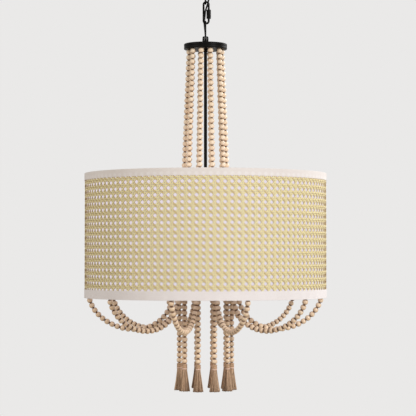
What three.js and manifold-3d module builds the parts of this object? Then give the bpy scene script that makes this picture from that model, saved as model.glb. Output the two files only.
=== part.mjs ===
// A drum chandelier of wooden beads: a ceiling canopy, a short chain, a crown disc with ten bead strands,
// a drum shade of cane webbing with five lamps inside, ten bead swags and ten bead strands with tassels.
// Millimetres, +Z up. The ceiling is the plane z = 0, and the origin is the middle of the canopy.
// A strand's angle is counted from -Y, the front, towards +X.

import * as THREE from "three";
import { mergeVertices } from "three/addons/utils/BufferGeometryUtils.js";
import Module from "manifold-3d";

const wasm = await Module();
wasm.setup();

// Clearances

const fit = 0.3; // between pieces that touch
const overrun = 2; // how far a cut runs past the piece
const weld = 1; // how far pieces of one casting run into each other

// Ceiling plate, canopy and loop

const crossbar = { length: 100, width: 16, thickness: 3, nippleRadius: 5 };
const crossbarSlot = { radius: 2.4, length: 12, endMargin: 6 };
const canopy = { radius: 63.5, height: 26, sheet: 1.2, lip: 5, crownRadius: 34 };
const canopyCordHole = { x: -14, y: 14 };
const loop = { ringRadius: 9, wireRadius: 2.5, collarRadius: 9.5, collarHeight: 8, plugLength: 6 };

// Chain, of two plain links and a quick link with a screw sleeve on its right leg

const link = { length: 54, width: 16, wireRadius: 2 };
const sleeve = { length: 21, radius: 4.5, below: 3.5 };
const gate = { height: 5, below: 8 }; // the opening in the leg that the sleeve closes

// Stem, crown disc and rod

const clevis = { radius: 7, baseRadius: 7.8, baseHeight: 3, edge: 1.5, slotWidth: 5.2, pinRadius: 2 };
const clevisTopAbovePin = 9.5;
const clevisBottomBelowPin = 7.7;
const slotFloor = 0.7; // metal left under the slot
const crown = { radius: 50, thickness: 13, edge: 1.5, grooveWidth: 1.4, grooveDepth: 0.9 };
const crownCordHole = { y: 13.5, depth: 9 };
const rod = { radius: 3.5, bore: 2 };

// Power cord: its route from the canopy through the quick link to the crown, chosen by hand

const cord = { radius: 2.1, slack: 0.8, sides: 8, steps: 36 };
const cordRoute = [
  [-14, 14, -12],
  [-14, 14, -24],
  [-13.5, 12, -36],
  [-12, 5, -52],
  [-8, 0.5, -65],
  [0, -0.5, -74],
  [6.5, -3.5, -83],
  [6, -7.2, -93],
  [2.5, -7.6, -104],
  [-0.4, -5, -113.5],
  [-1.3, 0, -120.5],
  [-2, 5, -127.5],
  [-4.2, 9.6, -137],
  [-4.6, 12, -147],
  [-3.2, 13.3, -160],
  [-1.2, 13.5, -174],
  [0, 13.5, -186],
  [0, 13.5, -198],
];

// Bead strands

const strandCount = 10;
const strandAngle = THREE.MathUtils.degToRad(20);
const stringSides = 5;
const waistShare = 0.45; // radius between two beads, as a share of the bead's radius
const threadRadius = 0.5; // at an end that a strand hangs by and swings about
const upper = { topRadius: 38, beadPitch: 12.5, beadRadius: 6.2, beadCount: 23 };
const dangle = { reach: 60.3, beadPitch: 12.2, beadRadius: 6.1, beadCount: 13, knot: 6 };
const swag = { innerReach: 75, rimInset: 6.1, drop: 87, lean: 8, beadPitch: 13.2, beadRadius: 6.5, knot: 3 };
const swagPoints = 24;
const tassel = { capRadius: 5.6, capLength: 10, bandRadius: 6.1, bandLength: 3.5, skirtRadius: 11.4, skirtLength: 50 };

// Shade

const shade = { radius: 280, height: 286, below: 301, segments: 40 };
const trim = { topHeight: 16.5, bottomHeight: 20, thickness: 0.8 };
const cane = { thickness: 1.4 };
const liner = { thickness: 0.8 };
const topRing = { wire: 5, below: 10 };

// Bottom frame, which carries the shade, the swags and the tassel strands

const frame = { thickness: 3, above: 14.8, innerRim: 56, innerWidth: 28, outerWidth: 13, hubRadius: 11 };
const spoke = { count: 5, width: 7 };
const spokeAngle = THREE.MathUtils.degToRad(38);
const finial = { radius: 8, neckRadius: 5.5, height: 16 };

// Lamps

const cluster = { above: 84, hubRadius: 15, hubHeight: 24, armRadius: 4, reach: 130, rise: 16, cupRadius: 14 };
const cupThickness = 3;
const socket = { radius: 11, height: 52, boreDepth: 24, wall: 4.4 };
const bulb = { baseRadius: 6, baseLength: 22, neckRadius: 7.5, radius: 17.5, length: 78, seat: 2 };
const bulbBellyShares = [1, 0.38]; // of the bulb's radius, and of its length
const bulbShoulderShares = [0.72, 0.68];

// Heights, worked out from the ceiling down

const loopZ = -canopy.height - fit - loop.collarHeight - loop.ringRadius + loop.wireRadius;
const loopWireZ = loopZ - loop.ringRadius;
const linkReach = link.length / 2 - link.wireRadius;
const upperLinkZ = loopWireZ + loop.wireRadius + link.wireRadius + fit - linkReach;
const linkStep = 2 * linkReach - 2 * link.wireRadius - fit;
const quickLinkZ = upperLinkZ - linkStep;
const lowerLinkZ = quickLinkZ - linkStep;
const pinZ = lowerLinkZ - linkReach + link.wireRadius + clevis.pinRadius + fit;
const crownTopZ = pinZ - clevisBottomBelowPin - fit;
const crownBottomZ = crownTopZ - crown.thickness;
const shadeTopZ = crownTopZ - shade.below;
const shadeBottomZ = shadeTopZ - shade.height;
const frameBottomZ = shadeBottomZ + frame.above;
const frameTopZ = frameBottomZ + frame.thickness;
const clusterZ = frameBottomZ + cluster.above;
const cupTopZ = clusterZ + cluster.rise + cupThickness;

// Radii of the shade's layers, from the outside in

const trimInner = shade.radius - trim.thickness;
const caneOuter = trimInner - fit;
const caneInner = caneOuter - cane.thickness;
const linerOuter = caneInner - fit;
const linerInner = linerOuter - liner.thickness;
const frameOuter = linerInner - fit;
const swagOuterReach = frameOuter - swag.rimInset;

// Materials

const material = (color, roughness, metalness) => new THREE.MeshStandardMaterial({ color, roughness, metalness });
const blackMetal = material(0x262625, 0.45, 0.6);
const steel = material(0xb8b8b4, 0.35, 0.9);
const wood = material(0xd9b995, 0.6, 0);
const tasselThread = material(0x8c6d57, 0.95, 0);
const caneWeave = material(0xe0c896, 0.7, 0);
const linerFilm = material(0xe9e5f0, 0.8, 0);
const trimCloth = material(0xe9ddd6, 0.9, 0);
const cordCover = material(0x1c1c1c, 0.6, 0);
const porcelain = material(0xf2efe8, 0.4, 0);
const bulbGlass = material(0xfbf7ec, 0.15, 0);

const chandelier = new THREE.Group();

function addMesh(parent, name, geometry, look) {
  const mesh = new THREE.Mesh(geometry, look);
  mesh.name = name;
  parent.add(mesh);
  return mesh;
}

// A group whose +X points outwards at an angle counted from the front.
function spokeGroup(angle) {
  const group = new THREE.Group();
  group.rotation.z = angle - Math.PI / 2;
  chandelier.add(group);
  return group;
}

// Geometry helpers

// Revolves a profile of [radius, height] points about Z. A profile that doesn't end on the axis is closed.
function revolve(profile, segments) {
  const points = profile.map(([radius, height]) => new THREE.Vector2(radius, height));
  const last = points[points.length - 1];
  if (points[0].x > 0 || last.x > 0) {
    points.push(points[0].clone());
  }
  return new THREE.LatheGeometry(points, segments).rotateX(Math.PI / 2);
}

function ringProfile(inner, outer, bottom, top) {
  return [[inner, bottom], [outer, bottom], [outer, top], [inner, top]];
}

function upright(radius, length, sides) {
  return new THREE.CylinderGeometry(radius, radius, length, sides).rotateX(Math.PI / 2);
}

function polygon(radius, sides) {
  return new THREE.Shape(Array.from({ length: sides }, (_, i) => {
    const turn = (2 * Math.PI * i) / sides;
    return new THREE.Vector2(radius * Math.cos(turn), radius * Math.sin(turn));
  }));
}

// Joins rings of points into a closed skin, either round in a loop or with a cap at both ends.
function skin(rings, isLoop) {
  const sides = rings[0].length;
  const corners = rings.flat();
  const faces = [];
  const joints = isLoop ? rings.length : rings.length - 1;
  for (let i = 0; i < joints; i++) {
    const here = i * sides;
    const next = ((i + 1) % rings.length) * sides;
    for (let j = 0; j < sides; j++) {
      const k = (j + 1) % sides;
      faces.push(here + j, here + k, next + k, here + j, next + k, next + j);
    }
  }
  if (!isLoop) {
    const lastRing = (rings.length - 1) * sides;
    for (let j = 1; j < sides - 1; j++) {
      faces.push(0, j + 1, j, lastRing, lastRing + j, lastRing + j + 1);
    }
  }
  const geometry = new THREE.BufferGeometry().setFromPoints(corners);
  geometry.setIndex(faces);
  geometry.computeVertexNormals();
  return geometry;
}

// A ring of points about a place on a curve in the XZ plane, square to the curve.
function sectionAt(place, tangent, radius, sides) {
  const side = new THREE.Vector3(0, 1, 0);
  const up = new THREE.Vector3().crossVectors(tangent, side);
  return Array.from({ length: sides }, (_, i) => {
    const turn = (2 * Math.PI * i) / sides;
    return place.clone()
      .addScaledVector(side, radius * Math.cos(turn))
      .addScaledVector(up, radius * Math.sin(turn));
  });
}

// A string of beads along a curve: stations are [distance, radius] pairs.
function beadString(curve, stations) {
  const length = curve.getLength();
  const rings = stations.map(([along, radius]) => {
    const share = Math.min(along / length, 1);
    return sectionAt(curve.getPointAt(share), curve.getTangentAt(share), radius, stringSides);
  });
  return skin(rings, false);
}

// Stations of a run of beads: a waist before each bead and after the last one.
function beadStations(start, count, pitch, radius) {
  const waist = radius * waistShare;
  const stations = [[start, waist]];
  for (let i = 0; i < count; i++) {
    stations.push([start + pitch * (i + 1 / 2), radius], [start + pitch * (i + 1), waist]);
  }
  return stations;
}

function strandAngles() {
  return Array.from({ length: strandCount }, (_, i) => strandAngle + (2 * Math.PI * i) / strandCount);
}

function spokeAngles() {
  return Array.from({ length: spoke.count }, (_, i) => spokeAngle + (2 * Math.PI * i) / spoke.count);
}

// Solids, for the pieces that need a join or a cut

function toSolid(geometry) {
  const bare = geometry.clone();
  bare.deleteAttribute("normal");
  bare.deleteAttribute("uv");
  const merged = mergeVertices(bare);
  const corners = Array.from(merged.index.array);
  const faces = [];
  for (let i = 0; i < corners.length; i += 3) {
    const [a, b, c] = corners.slice(i, i + 3);
    if (a !== b && b !== c && c !== a) {
      faces.push(a, b, c);
    }
  }
  return new wasm.Manifold(new wasm.Mesh({
    numProp: 3,
    vertProperties: new Float32Array(merged.attributes.position.array),
    triVerts: new Uint32Array(faces),
  }));
}

function toGeometry(solid) {
  const mesh = solid.getMesh();
  const geometry = new THREE.BufferGeometry();
  geometry.setAttribute("position", new THREE.BufferAttribute(mesh.vertProperties, 3));
  geometry.setIndex(new THREE.BufferAttribute(mesh.triVerts, 1));
  geometry.computeVertexNormals();
  return geometry;
}

function join(geometries) {
  return geometries.map(toSolid).reduce((whole, piece) => whole.add(piece));
}

function cut(solid, geometries) {
  return geometries.map(toSolid).reduce((rest, tool) => rest.subtract(tool), solid);
}

// Ceiling pieces

function makeCrossbar() {
  const strap = new THREE.BoxGeometry(crossbar.length, crossbar.width, crossbar.thickness)
    .translate(0, 0, -crossbar.thickness / 2);
  const nippleEnd = -canopy.height + loop.plugLength + fit;
  const nippleLength = -nippleEnd - crossbar.thickness + weld;
  const nipple = upright(crossbar.nippleRadius, nippleLength, 10)
    .translate(0, 0, nippleEnd + nippleLength / 2);
  const reach = (crossbar.length - crossbarSlot.length) / 2 - crossbarSlot.endMargin;
  const slots = [-1, 1].map((side) => new THREE.BoxGeometry(
    crossbarSlot.length, 2 * crossbarSlot.radius, crossbar.thickness + 2 * overrun,
  ).translate(side * reach, 0, -crossbar.thickness / 2));
  addMesh(chandelier, "mounting_crossbar", toGeometry(cut(join([strap, nipple]), slots)), steel);
}

function makeCanopy() {
  const outer = [
    [canopy.radius, 0],
    [canopy.radius, -canopy.lip],
    [(canopy.radius + canopy.crownRadius) / 2, -(canopy.height + canopy.lip) / 2],
    [canopy.crownRadius, -canopy.height],
  ];
  const holeRadius = crossbar.nippleRadius + fit;
  const inner = outer.map(([radius, height]) => [radius - canopy.sheet, height]).reverse();
  inner[0][1] += canopy.sheet;
  inner[1][1] += canopy.sheet / 2;
  const profile = [...inner, ...outer, [holeRadius, -canopy.height], [holeRadius, -canopy.height + canopy.sheet]];
  const shell = toSolid(revolve(profile.reverse(), 20));
  const cordHole = upright(cord.radius + cord.slack, canopy.height, 10)
    .translate(canopyCordHole.x, canopyCordHole.y, -canopy.height);
  addMesh(chandelier, "ceiling_canopy", toGeometry(cut(shell, [cordHole])), blackMetal);
}

function makeCanopyLoop() {
  const collarTop = -canopy.height - fit;
  const plug = upright(crossbar.nippleRadius, loop.plugLength + weld, 10)
    .translate(0, 0, collarTop + (loop.plugLength - weld) / 2);
  const collar = upright(loop.collarRadius, loop.collarHeight, 12)
    .translate(0, 0, collarTop - loop.collarHeight / 2);
  const ring = new THREE.TorusGeometry(loop.ringRadius, loop.wireRadius, 6, 16)
    .rotateX(Math.PI / 2)
    .translate(0, 0, loopZ);
  addMesh(chandelier, "canopy_loop", toGeometry(join([plug, collar, ring])), blackMetal);
}

// Chain

// The middle line of a link in the XZ plane: two straight legs and two half circles.
function linkGeometry() {
  const bend = link.width / 2 - link.wireRadius;
  const straight = linkReach - bend;
  const bendSteps = 5;
  const rings = [];
  for (const side of [1, -1]) {
    for (let i = 0; i <= bendSteps; i++) {
      const turn = (Math.PI * i) / bendSteps;
      const place = new THREE.Vector3(
        side * bend * Math.cos(turn), 0, side * (straight + bend * Math.sin(turn)),
      );
      const tangent = new THREE.Vector3(-side * Math.sin(turn), 0, side * Math.cos(turn));
      rings.push(sectionAt(place, tangent, link.wireRadius, 6));
    }
  }
  return skin(rings, true);
}

function makeChain() {
  const upperLink = addMesh(chandelier, "chain_link_upper", linkGeometry().rotateZ(Math.PI / 2), blackMetal);
  upperLink.position.z = upperLinkZ;
  const lowerLink = addMesh(chandelier, "chain_link_lower", linkGeometry().rotateZ(Math.PI / 2), blackMetal);
  lowerLink.position.z = lowerLinkZ;

  const legX = link.width / 2 - link.wireRadius;
  const gateTool = new THREE.BoxGeometry(2 * sleeve.radius, 2 * sleeve.radius, gate.height)
    .translate(legX, 0, -gate.below);
  const quickLink = addMesh(
    chandelier, "quick_link", toGeometry(cut(toSolid(linkGeometry()), [gateTool])), blackMetal,
  );
  quickLink.position.z = quickLinkZ;
  const half = sleeve.length / 2;
  const nut = addMesh(
    chandelier, "quick_link_sleeve",
    revolve(ringProfile(link.wireRadius + fit, sleeve.radius, -half, half), 8), blackMetal,
  );
  nut.position.set(legX, 0, quickLinkZ - sleeve.below);
}

function makeCord() {
  const points = cordRoute.map((place) => new THREE.Vector3(...place));
  const geometry = new THREE.ExtrudeGeometry(polygon(cord.radius, cord.sides), {
    steps: cord.steps,
    bevelEnabled: false,
    extrudePath: new THREE.CatmullRomCurve3(points),
  });
  addMesh(chandelier, "power_cord", geometry, cordCover);
}

// Stem, crown and rod

function makeStem() {
  const top = pinZ + clevisTopAbovePin;
  const bottom = pinZ - clevisBottomBelowPin;
  const body = revolve([
    [0, bottom],
    [clevis.baseRadius, bottom],
    [clevis.baseRadius, bottom + clevis.baseHeight],
    [clevis.radius, bottom + clevis.baseHeight],
    [clevis.radius, top - clevis.edge],
    [clevis.radius - clevis.edge, top],
    [0, top],
  ], 16);
  const slotHeight = clevisTopAbovePin + clevisBottomBelowPin - slotFloor + overrun;
  const slot = new THREE.BoxGeometry(clevis.slotWidth, 2 * clevis.baseRadius + overrun, slotHeight)
    .translate(0, 0, bottom + slotFloor + slotHeight / 2);
  const pinHole = upright(clevis.pinRadius + fit, 2 * clevis.baseRadius + overrun, 10)
    .rotateY(Math.PI / 2)
    .translate(0, 0, pinZ);
  addMesh(chandelier, "stem_clevis", toGeometry(cut(toSolid(body), [slot, pinHole])), blackMetal);
  const pin = addMesh(
    chandelier, "stem_pin", upright(clevis.pinRadius, 2 * clevis.radius, 10).rotateY(Math.PI / 2), steel,
  );
  pin.position.z = pinZ;
}

function makeCrown() {
  const bore = rod.radius + fit;
  const middle = (crownTopZ + crownBottomZ) / 2;
  const halfGroove = crown.grooveWidth / 2;
  const waist = crown.radius - crown.grooveDepth;
  const profile = [
    [bore, crownBottomZ],
    [crown.radius - crown.edge, crownBottomZ],
    [crown.radius, crownBottomZ + crown.edge],
    [crown.radius, middle - halfGroove],
    [waist, middle - halfGroove],
    [waist, middle + halfGroove],
    [crown.radius, middle + halfGroove],
    [crown.radius, crownTopZ - crown.edge],
    [crown.radius - crown.edge, crownTopZ],
    [bore, crownTopZ],
  ];
  const cordHole = upright(cord.radius + cord.slack, 2 * crownCordHole.depth, 10)
    .translate(0, crownCordHole.y, crownTopZ);
  addMesh(chandelier, "crown_disc", toGeometry(cut(toSolid(revolve(profile, 24)), [cordHole])), blackMetal);
}

function makeRod() {
  const top = crownTopZ - fit;
  const bottom = frameBottomZ - finial.height / 2;
  addMesh(chandelier, "centre_rod", revolve(ringProfile(rod.bore, rod.radius, bottom, top), 10), blackMetal);
}

// Bottom frame: a flat outer ring, a flat inner ring and a hub, joined by spokes

function makeBottomFrame() {
  const segments = shade.segments;
  const outerRing = revolve(
    ringProfile(frameOuter - frame.outerWidth, frameOuter, frameBottomZ, frameTopZ), segments,
  );
  const innerRing = revolve(
    ringProfile(frame.innerRim, frame.innerRim + frame.innerWidth, frameBottomZ, frameTopZ), segments / 2,
  );
  const hub = revolve(ringProfile(rod.radius + fit, frame.hubRadius, frameBottomZ, frameTopZ), 16);
  const middle = (frameBottomZ + frameTopZ) / 2;
  const spokeStart = frame.hubRadius - weld;
  const spokeEnd = frameOuter - frame.outerWidth + weld;
  const spokes = spokeAngles().map((angle) => new THREE.BoxGeometry(
    spokeEnd - spokeStart, spoke.width, frame.thickness,
  ).translate((spokeStart + spokeEnd) / 2, 0, middle).rotateZ(angle - Math.PI / 2));
  addMesh(chandelier, "bottom_frame", toGeometry(join([outerRing, innerRing, hub, ...spokes])), blackMetal);

  const nutTop = frameBottomZ - fit;
  const boreTop = frameBottomZ - finial.height / 2 - fit;
  const bore = rod.radius + fit;
  const profile = [
    [0, nutTop - finial.height],
    [finial.neckRadius, nutTop - finial.height],
    [finial.radius, nutTop - finial.height / 2],
    [finial.radius, nutTop],
    [bore, nutTop],
    [bore, boreTop],
    [0, boreTop],
  ];
  addMesh(chandelier, "rod_finial", revolve(profile, 12), blackMetal);
}

// Shade

// A trim folded over an edge of the shade. It runs from the edge by the height, up or down.
function trimProfile(edge, height) {
  const inside = edge + Math.sign(height) * trim.thickness;
  return [
    [trimInner, edge + height],
    [shade.radius, edge + height],
    [shade.radius, edge],
    [linerInner, edge],
    [linerInner, inside],
    [trimInner, inside],
  ];
}

function makeShade() {
  const segments = shade.segments;
  const wallTop = shadeTopZ - trim.thickness - fit;
  const wallBottom = shadeBottomZ + trim.thickness + fit;
  addMesh(chandelier, "cane_drum", revolve(ringProfile(caneInner, caneOuter, wallBottom, wallTop), segments), caneWeave);
  addMesh(chandelier, "shade_liner", revolve(ringProfile(linerInner, linerOuter, wallBottom, wallTop), segments), linerFilm);

  addMesh(chandelier, "top_trim", revolve(trimProfile(shadeTopZ, -trim.topHeight), segments), trimCloth);
  const bottomProfile = trimProfile(shadeBottomZ, trim.bottomHeight).reverse();
  addMesh(chandelier, "bottom_trim", revolve(bottomProfile, segments), trimCloth);

  const wireOuter = linerInner - fit;
  const wireMiddle = wireOuter - topRing.wire / 2;
  const wireZ = shadeTopZ - topRing.below;
  const wire = [
    [wireMiddle, wireZ - topRing.wire / 2],
    [wireOuter, wireZ],
    [wireMiddle, wireZ + topRing.wire / 2],
    [wireOuter - topRing.wire, wireZ],
  ];
  addMesh(chandelier, "shade_top_ring", revolve(wire, segments), steel);
}

// Lamps

function makeLamps() {
  const hub = revolve(ringProfile(
    rod.radius + fit, cluster.hubRadius, clusterZ - cluster.hubHeight / 2, clusterZ + cluster.hubHeight / 2,
  ), 12);
  const section = polygon(cluster.armRadius, 6);
  const armPath = new THREE.CatmullRomCurve3([
    new THREE.Vector3(cluster.hubRadius - cluster.armRadius, 0, 0),
    new THREE.Vector3(cluster.reach / 2, 0, -cluster.armRadius),
    new THREE.Vector3(cluster.reach - cluster.rise, 0, 0),
    new THREE.Vector3(cluster.reach, 0, cluster.rise),
  ]);
  const arms = spokeAngles().map((angle) => new THREE.ExtrudeGeometry(section, {
    steps: 6,
    bevelEnabled: false,
    extrudePath: armPath,
  }).translate(0, 0, clusterZ).rotateZ(angle - Math.PI / 2));
  const cups = spokeAngles().map((angle) => upright(cluster.cupRadius, cupThickness, 8)
    .translate(cluster.reach, 0, clusterZ + cluster.rise + cupThickness / 2)
    .rotateZ(angle - Math.PI / 2));
  addMesh(chandelier, "lamp_cluster", toGeometry(join([hub, ...arms, ...cups])), blackMetal);

  spokeAngles().forEach((angle, i) => {
    const group = spokeGroup(angle);
    const socketMesh = addMesh(group, `lamp_socket_${i + 1}`, socketGeometry(), porcelain);
    socketMesh.position.set(cluster.reach, 0, cupTopZ + fit);
    const bulbMesh = addMesh(group, `bulb_${i + 1}`, bulbGeometry(), bulbGlass);
    bulbMesh.position.set(cluster.reach, 0, cupTopZ + fit + socket.height - bulb.baseLength + bulb.seat);
  });
}

function socketGeometry() {
  const bore = socket.radius - socket.wall;
  const floor = socket.height - socket.boreDepth;
  return revolve([
    [0, 0],
    [socket.radius, 0],
    [socket.radius, socket.height],
    [bore, socket.height],
    [bore, floor],
    [0, floor],
  ], 10);
}

function bulbGeometry() {
  return revolve([
    [0, 0],
    [bulb.baseRadius, 0],
    [bulb.baseRadius, bulb.baseLength],
    [bulb.neckRadius, bulb.baseLength],
    ...[bulbBellyShares, bulbShoulderShares].map(([wide, along]) => [
      bulb.radius * wide, bulb.baseLength + bulb.length * along,
    ]),
    [0, bulb.baseLength + bulb.length],
  ], 10);
}

// Bead strands

function makeUpperStrand(parent, name) {
  const start = new THREE.Vector3(upper.topRadius, 0, crownBottomZ - fit);
  const end = new THREE.Vector3(dangle.reach, 0, frameTopZ + fit);
  const line = new THREE.LineCurve3(start, end);
  const stations = beadStations(0, upper.beadCount, upper.beadPitch, upper.beadRadius);
  const plainStart = upper.beadCount * upper.beadPitch;
  stations.push([plainStart + upper.beadRadius / 2, upper.beadRadius]);
  stations.push([line.getLength(), upper.beadRadius]);
  addMesh(parent, name, beadString(line, stations), wood);
}

// A swag is half an ellipse whose lowest part leans towards the middle of the lamp.
function makeSwag(parent, name) {
  const middle = (swag.innerReach + swagOuterReach) / 2;
  const halfSpan = (swagOuterReach - swag.innerReach) / 2;
  const hangZ = frameBottomZ - fit;
  const curve = new THREE.CatmullRomCurve3(Array.from({ length: swagPoints + 1 }, (_, i) => {
    const turn = (Math.PI * i) / swagPoints;
    const reach = middle - halfSpan * Math.cos(turn) - swag.lean * Math.sin(turn) ** 2;
    return new THREE.Vector3(reach, 0, hangZ - swag.drop * Math.sin(turn));
  }));
  const free = curve.getLength() - 2 * swag.knot;
  const count = Math.floor(free / swag.beadPitch);
  const pitch = free / count;
  const stations = [
    [0, threadRadius],
    ...beadStations(swag.knot, count, pitch, swag.beadRadius),
    [curve.getLength(), threadRadius],
  ];
  addMesh(parent, name, beadString(curve, stations), wood);
}

function makeDangle(parent, name) {
  const hangZ = frameBottomZ - fit;
  const beadsEnd = dangle.knot + dangle.beadCount * dangle.beadPitch;
  const bandStart = beadsEnd + tassel.capLength;
  const skirtStart = bandStart + tassel.bandLength;
  const skirtEnd = skirtStart + tassel.skirtLength;
  const line = new THREE.LineCurve3(
    new THREE.Vector3(dangle.reach, 0, hangZ),
    new THREE.Vector3(dangle.reach, 0, hangZ - skirtEnd),
  );
  const stations = [
    [0, threadRadius],
    ...beadStations(dangle.knot, dangle.beadCount, dangle.beadPitch, dangle.beadRadius),
    [beadsEnd + tassel.bandLength, tassel.capRadius],
    [bandStart, tassel.capRadius],
    [bandStart + tassel.bandLength / 2, tassel.bandRadius],
    [skirtStart, tassel.capRadius],
    [skirtEnd, tassel.skirtRadius],
  ];
  addMesh(parent, name, beadString(line, stations), tasselThread);
}

function makeStrands() {
  strandAngles().forEach((angle, i) => {
    const group = spokeGroup(angle);
    makeUpperStrand(group, `upper_strand_${i + 1}`);
    makeSwag(group, `swag_${i + 1}`);
    makeDangle(group, `tassel_strand_${i + 1}`);
  });
}

makeCrossbar();
makeCanopy();
makeCanopyLoop();
makeChain();
makeCord();
makeStem();
makeCrown();
makeRod();
makeBottomFrame();
makeShade();
makeLamps();
makeStrands();

export default chandelier;
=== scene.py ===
# %% [markdown]
# This file dresses a drum chandelier of wooden beads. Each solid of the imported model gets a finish, or a
# piece that stands for it with the detail of the real one. Sizes are in millimetres until a mesh is made. A
# strand's angle is counted from the front, -Y, towards +X.

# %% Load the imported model
import math

import bmesh
import bpy
from mathutils import Matrix, Vector


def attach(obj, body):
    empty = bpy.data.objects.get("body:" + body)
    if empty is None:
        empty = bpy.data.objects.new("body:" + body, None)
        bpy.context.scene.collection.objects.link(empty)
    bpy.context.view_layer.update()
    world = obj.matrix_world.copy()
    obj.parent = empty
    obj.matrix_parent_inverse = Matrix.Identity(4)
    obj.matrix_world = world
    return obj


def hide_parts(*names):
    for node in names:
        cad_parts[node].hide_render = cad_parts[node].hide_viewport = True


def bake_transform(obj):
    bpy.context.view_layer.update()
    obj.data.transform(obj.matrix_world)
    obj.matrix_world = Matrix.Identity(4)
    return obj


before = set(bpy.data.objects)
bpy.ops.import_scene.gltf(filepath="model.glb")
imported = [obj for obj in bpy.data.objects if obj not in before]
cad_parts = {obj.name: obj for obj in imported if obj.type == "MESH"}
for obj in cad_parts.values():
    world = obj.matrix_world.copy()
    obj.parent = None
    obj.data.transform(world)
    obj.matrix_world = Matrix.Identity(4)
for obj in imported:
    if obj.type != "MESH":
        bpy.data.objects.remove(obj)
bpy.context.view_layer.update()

MM = 0.001
FULL = 2 * math.pi

# %% [markdown]
# The camera stands where the photograph was taken from: level with the lower part of the shade and almost
# four metres away, with a long lens that keeps the rims' ellipses flat.


# %% Camera
def add_object(name, data):
    thing = bpy.data.objects.new(name, data)
    bpy.context.collection.objects.link(thing)
    return thing


LENS, LOOK_UP, LOOK_ASIDE = 139.6, 1.73, -0.089  # mm and degrees
camera = bpy.data.cameras.new("photo_camera")
camera.sensor_width, camera.lens = 36, LENS
camera_object = add_object("photo_camera", camera)
camera_object.location = (0, -3.736, -0.6827)
camera_object.rotation_euler = (math.radians(90 + LOOK_UP), 0, math.radians(LOOK_ASIDE))
bpy.context.scene.camera = camera_object
print("camera", tuple(round(value, 3) for value in camera_object.location))

# %% [markdown]
# Shader and geometry trees are made with the same tools. `put` adds a node and fills its sockets. `Wire`
# wraps one socket and has the arithmetic operators, so a pattern can be written as a formula.


# %% Node tools
def socket_of(sockets, key):
    """Finds a socket by number, or by name among those that the node's settings leave in use."""
    if isinstance(key, int):
        return sockets[key]
    return next(socket for socket in sockets if socket.name == key and socket.enabled)


def put(tree, kind, values=None, **settings):
    """Adds a node. Its settings come first, because they decide which sockets there are."""
    node = tree.nodes.new(kind)
    for name, value in settings.items():
        setattr(node, name, value)
    for key, value in (values or {}).items():
        target = socket_of(node.inputs, key)
        if isinstance(value, Wire):
            tree.links.new(value.socket, target)
        else:
            target.default_value = value
    return node


class Wire:
    """One output socket. Sums, products and comparisons of wires add Math nodes."""

    def __init__(self, node, key=0):
        self.socket = socket_of(node.outputs, key)

    def math(self, operation, *values):
        return Wire(put(self.socket.id_data, "ShaderNodeMath", dict(enumerate(values)), operation=operation))

    def ramp(self, low, high):
        """0 below low, 1 above high, and a soft step between them."""
        return Wire(put(self.socket.id_data, "ShaderNodeMapRange", {
            "Value": self, "From Min": low, "From Max": high,
        }, interpolation_type="SMOOTHSTEP"))


def wire_method(operation, is_swapped=False):
    """A method for Wire. In the swapped form the wire is the operator's second value."""
    def plain(wire, *others):
        return wire.math(operation, wire, *others)

    def swapped(wire, other):
        return wire.math(operation, other, wire)
    return swapped if is_swapped else plain


for symbol, operation in {"add": "ADD", "sub": "SUBTRACT", "mul": "MULTIPLY", "truediv": "DIVIDE"}.items():
    setattr(Wire, f"__{symbol}__", wire_method(operation))
    setattr(Wire, f"__r{symbol}__", wire_method(operation, is_swapped=True))
for title, operation in {
    "__mod__": "FLOORED_MODULO", "__pow__": "POWER", "__gt__": "GREATER_THAN", "sin": "SINE", "cos": "COSINE",
    "floor": "FLOOR", "abs": "ABSOLUTE", "most": "MAXIMUM", "least": "MINIMUM",
}.items():
    setattr(Wire, title, wire_method(operation))


class Tree:
    """A node tree. A kind of node may be named without its family's prefix."""
    family = "ShaderNode"

    def node(self, kind, values=None, **settings):
        return put(self.tree, kind if "Node" in kind else self.family + kind, values, **settings)

    def wire(self, kind, values=None, output=0, **settings):
        return Wire(self.node(kind, values, **settings), output)

    def axes(self, vector):
        node = self.node("ShaderNodeSeparateXYZ", {0: vector})
        return [Wire(node, axis) for axis in "XYZ"]

    def vector(self, x, y, z):
        return self.wire("ShaderNodeCombineXYZ", {"X": x, "Y": y, "Z": z})


print("node tools ready")

# %% [markdown]
# A finish is a material under construction. What is the same all over is set straight on the shader. What
# varies is a wire into its base colour, roughness or normal.


# %% Finish
def tint(red, green, blue):
    """A colour written as it looks on the screen, from 0 to 255, as the linear numbers that a shader takes."""
    def linear(value):
        share = value / 255
        return share / 12.92 if share <= 0.04045 else ((share + 0.055) / 1.055) ** 2.4
    return (linear(red), linear(green), linear(blue), 1.0)


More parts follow.
